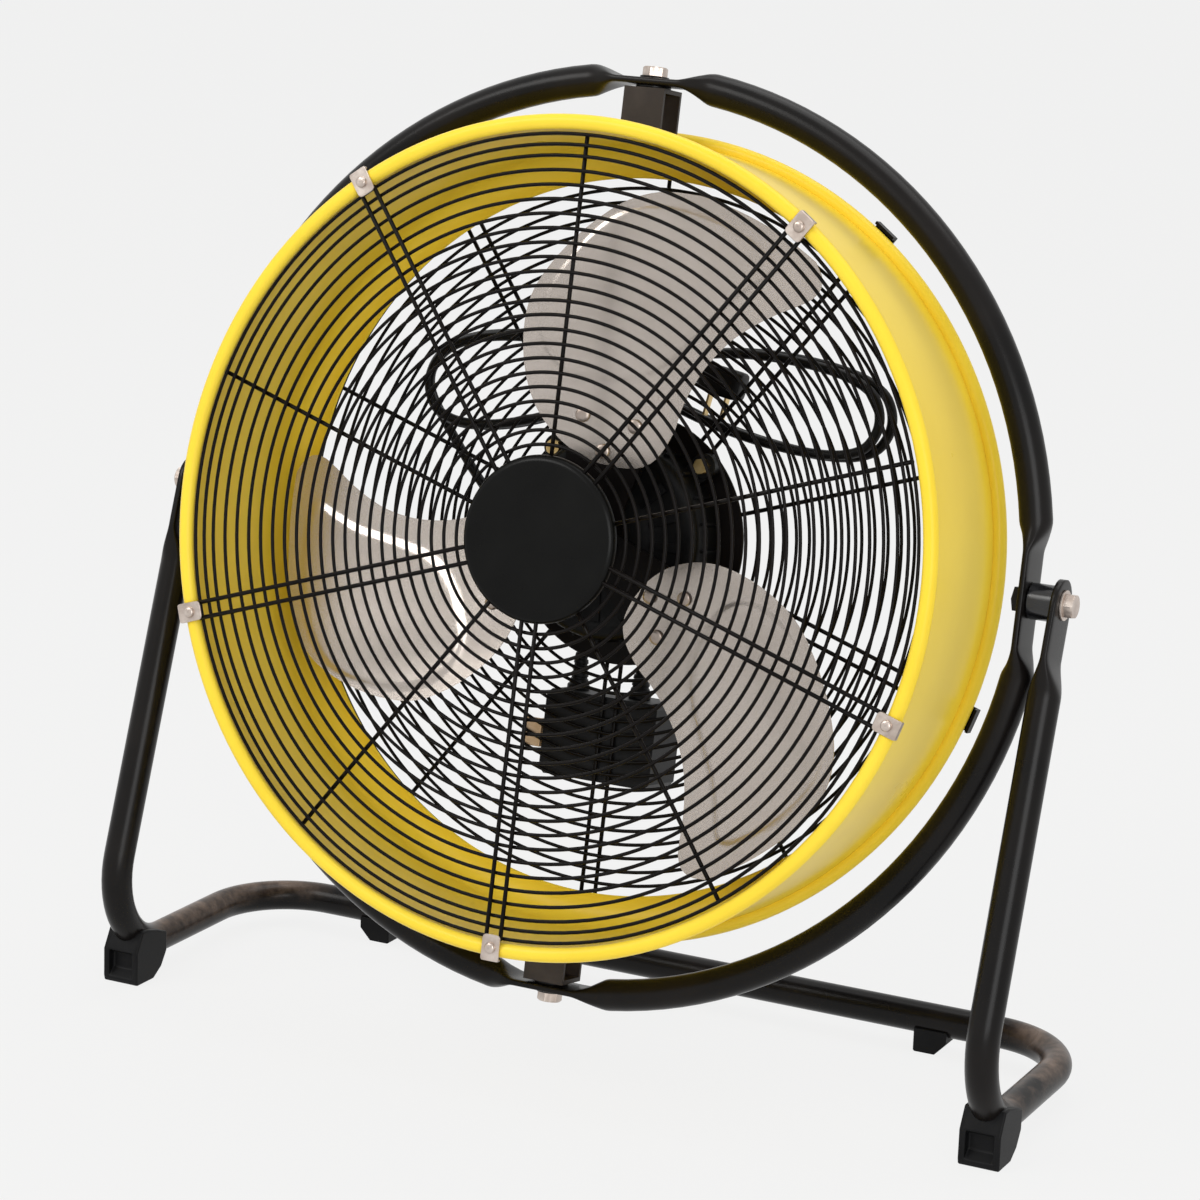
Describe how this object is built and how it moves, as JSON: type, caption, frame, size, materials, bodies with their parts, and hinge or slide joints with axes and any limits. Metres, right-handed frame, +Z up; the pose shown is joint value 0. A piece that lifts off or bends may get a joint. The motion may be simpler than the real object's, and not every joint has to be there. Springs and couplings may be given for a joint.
{
  "type": "drum fan",
  "caption": "Portable drum fan: wide sheet-metal drum with wire guards, hung in a tilting ring yoke on a bent-tube floor stand.",
  "frame": {"origin": "middle of the footprint on the floor, under the fan as it stands at rest with the drum leaning back", "axes": "+Z up, -Y the way the fan blows, +X to the right seen from the front"},
  "size_m": [0.691, 0.2632, 0.6744],
  "materials": {
    "black_tube": "satin",
    "black_plastic": "matte",
    "cap_black": "gloss",
    "black_wire": "satin",
    "yellow_drum": "gloss",
    "zinc": "satin",
    "brass_bolts": "satin",
    "motor_black": "satin",
    "core_steel": "satin",
    "blade_alloy": "satin",
    "spider_black": "satin",
    "cord_black": "satin"
  },
  "bodies": {
    "stand": {"stand_frame": "black_tube", "front_shoes": "black_plastic", "rear_pads": "black_plastic", "pivot_bushes": "black_plastic", "pivot_bolts": "zinc", "pivot_washers": "zinc", "pivot_nuts": "zinc"},
    "yoke": {"yoke_ring": "black_tube", "swivel_bolts": "zinc", "swivel_washers": "zinc", "swivel_nuts": "zinc"},
    "drum": {"drum_shell": "yellow_drum", "swivel_brackets": "black_wire", "bracket_screws": "zinc", "front_guard_rings": "black_wire", "front_guard_spokes": "black_wire", "guard_plate": "black_wire", "centre_cap": "cap_black", "front_clips": "zinc", "front_clip_screws": "zinc", "rear_guard_rings": "black_wire", "rear_guard_spokes": "black_wire", "rear_clips": "black_wire", "rear_clip_screws": "zinc", "mount_plate": "black_wire", "motor_screws": "brass_bolts", "motor_nuts": "zinc", "motor_housing": "motor_black", "motor_cover": "motor_black", "stator_core": "core_steel", "bearings": "core_steel", "control_box": "black_plastic", "box_cover": "black_plastic", "box_screws": "zinc", "box_clip": "zinc", "speed_switch": "black_plastic", "capacitor": "cord_black", "lead_grommet": "black_plastic", "motor_lead": "cord_black", "cord_gland": "black_plastic", "cord_tail": "cord_black", "cord_hank": "cord_black", "plug_body": "cord_black", "plug_pins": "brass_bolts", "cord_tie": "cord_black"},
    "rotor": {"motor_shaft": "core_steel", "rotor_core": "core_steel", "blade_spider": "spider_black", "fan_blade_a": "blade_alloy", "fan_blade_b": "blade_alloy", "fan_blade_c": "blade_alloy", "blade_rivets": "blade_alloy", "hub_nut": "core_steel"},
    "knob": {"speed_knob": "black_plastic"}
  },
  "joints": [
    {"name": "ring_tilt", "type": "hinge", "parent": "stand", "child": "yoke", "pos_m": [0, 0.0166, 0.357], "axis": [1, 0, 0], "range_deg": [-180, 180]},
    {"name": "drum_turn", "type": "hinge", "parent": "yoke", "child": "drum", "pos_m": [0, 0.0166, 0.357], "axis": [0, 0.1736, 0.9848], "range_deg": [-180, 180]},
    {"name": "fan_spin", "type": "hinge", "parent": "drum", "child": "rotor", "pos_m": [0, 0.0166, 0.357], "axis": [0, -0.9848, 0.1736], "continuous": true},
    {"name": "speed_knob_turn", "type": "hinge", "parent": "drum", "child": "knob", "pos_m": [-0.008, 0.08057, 0.20153], "axis": [0, 0.9848, -0.1736], "range_deg": [0, 135]}
  ]
}
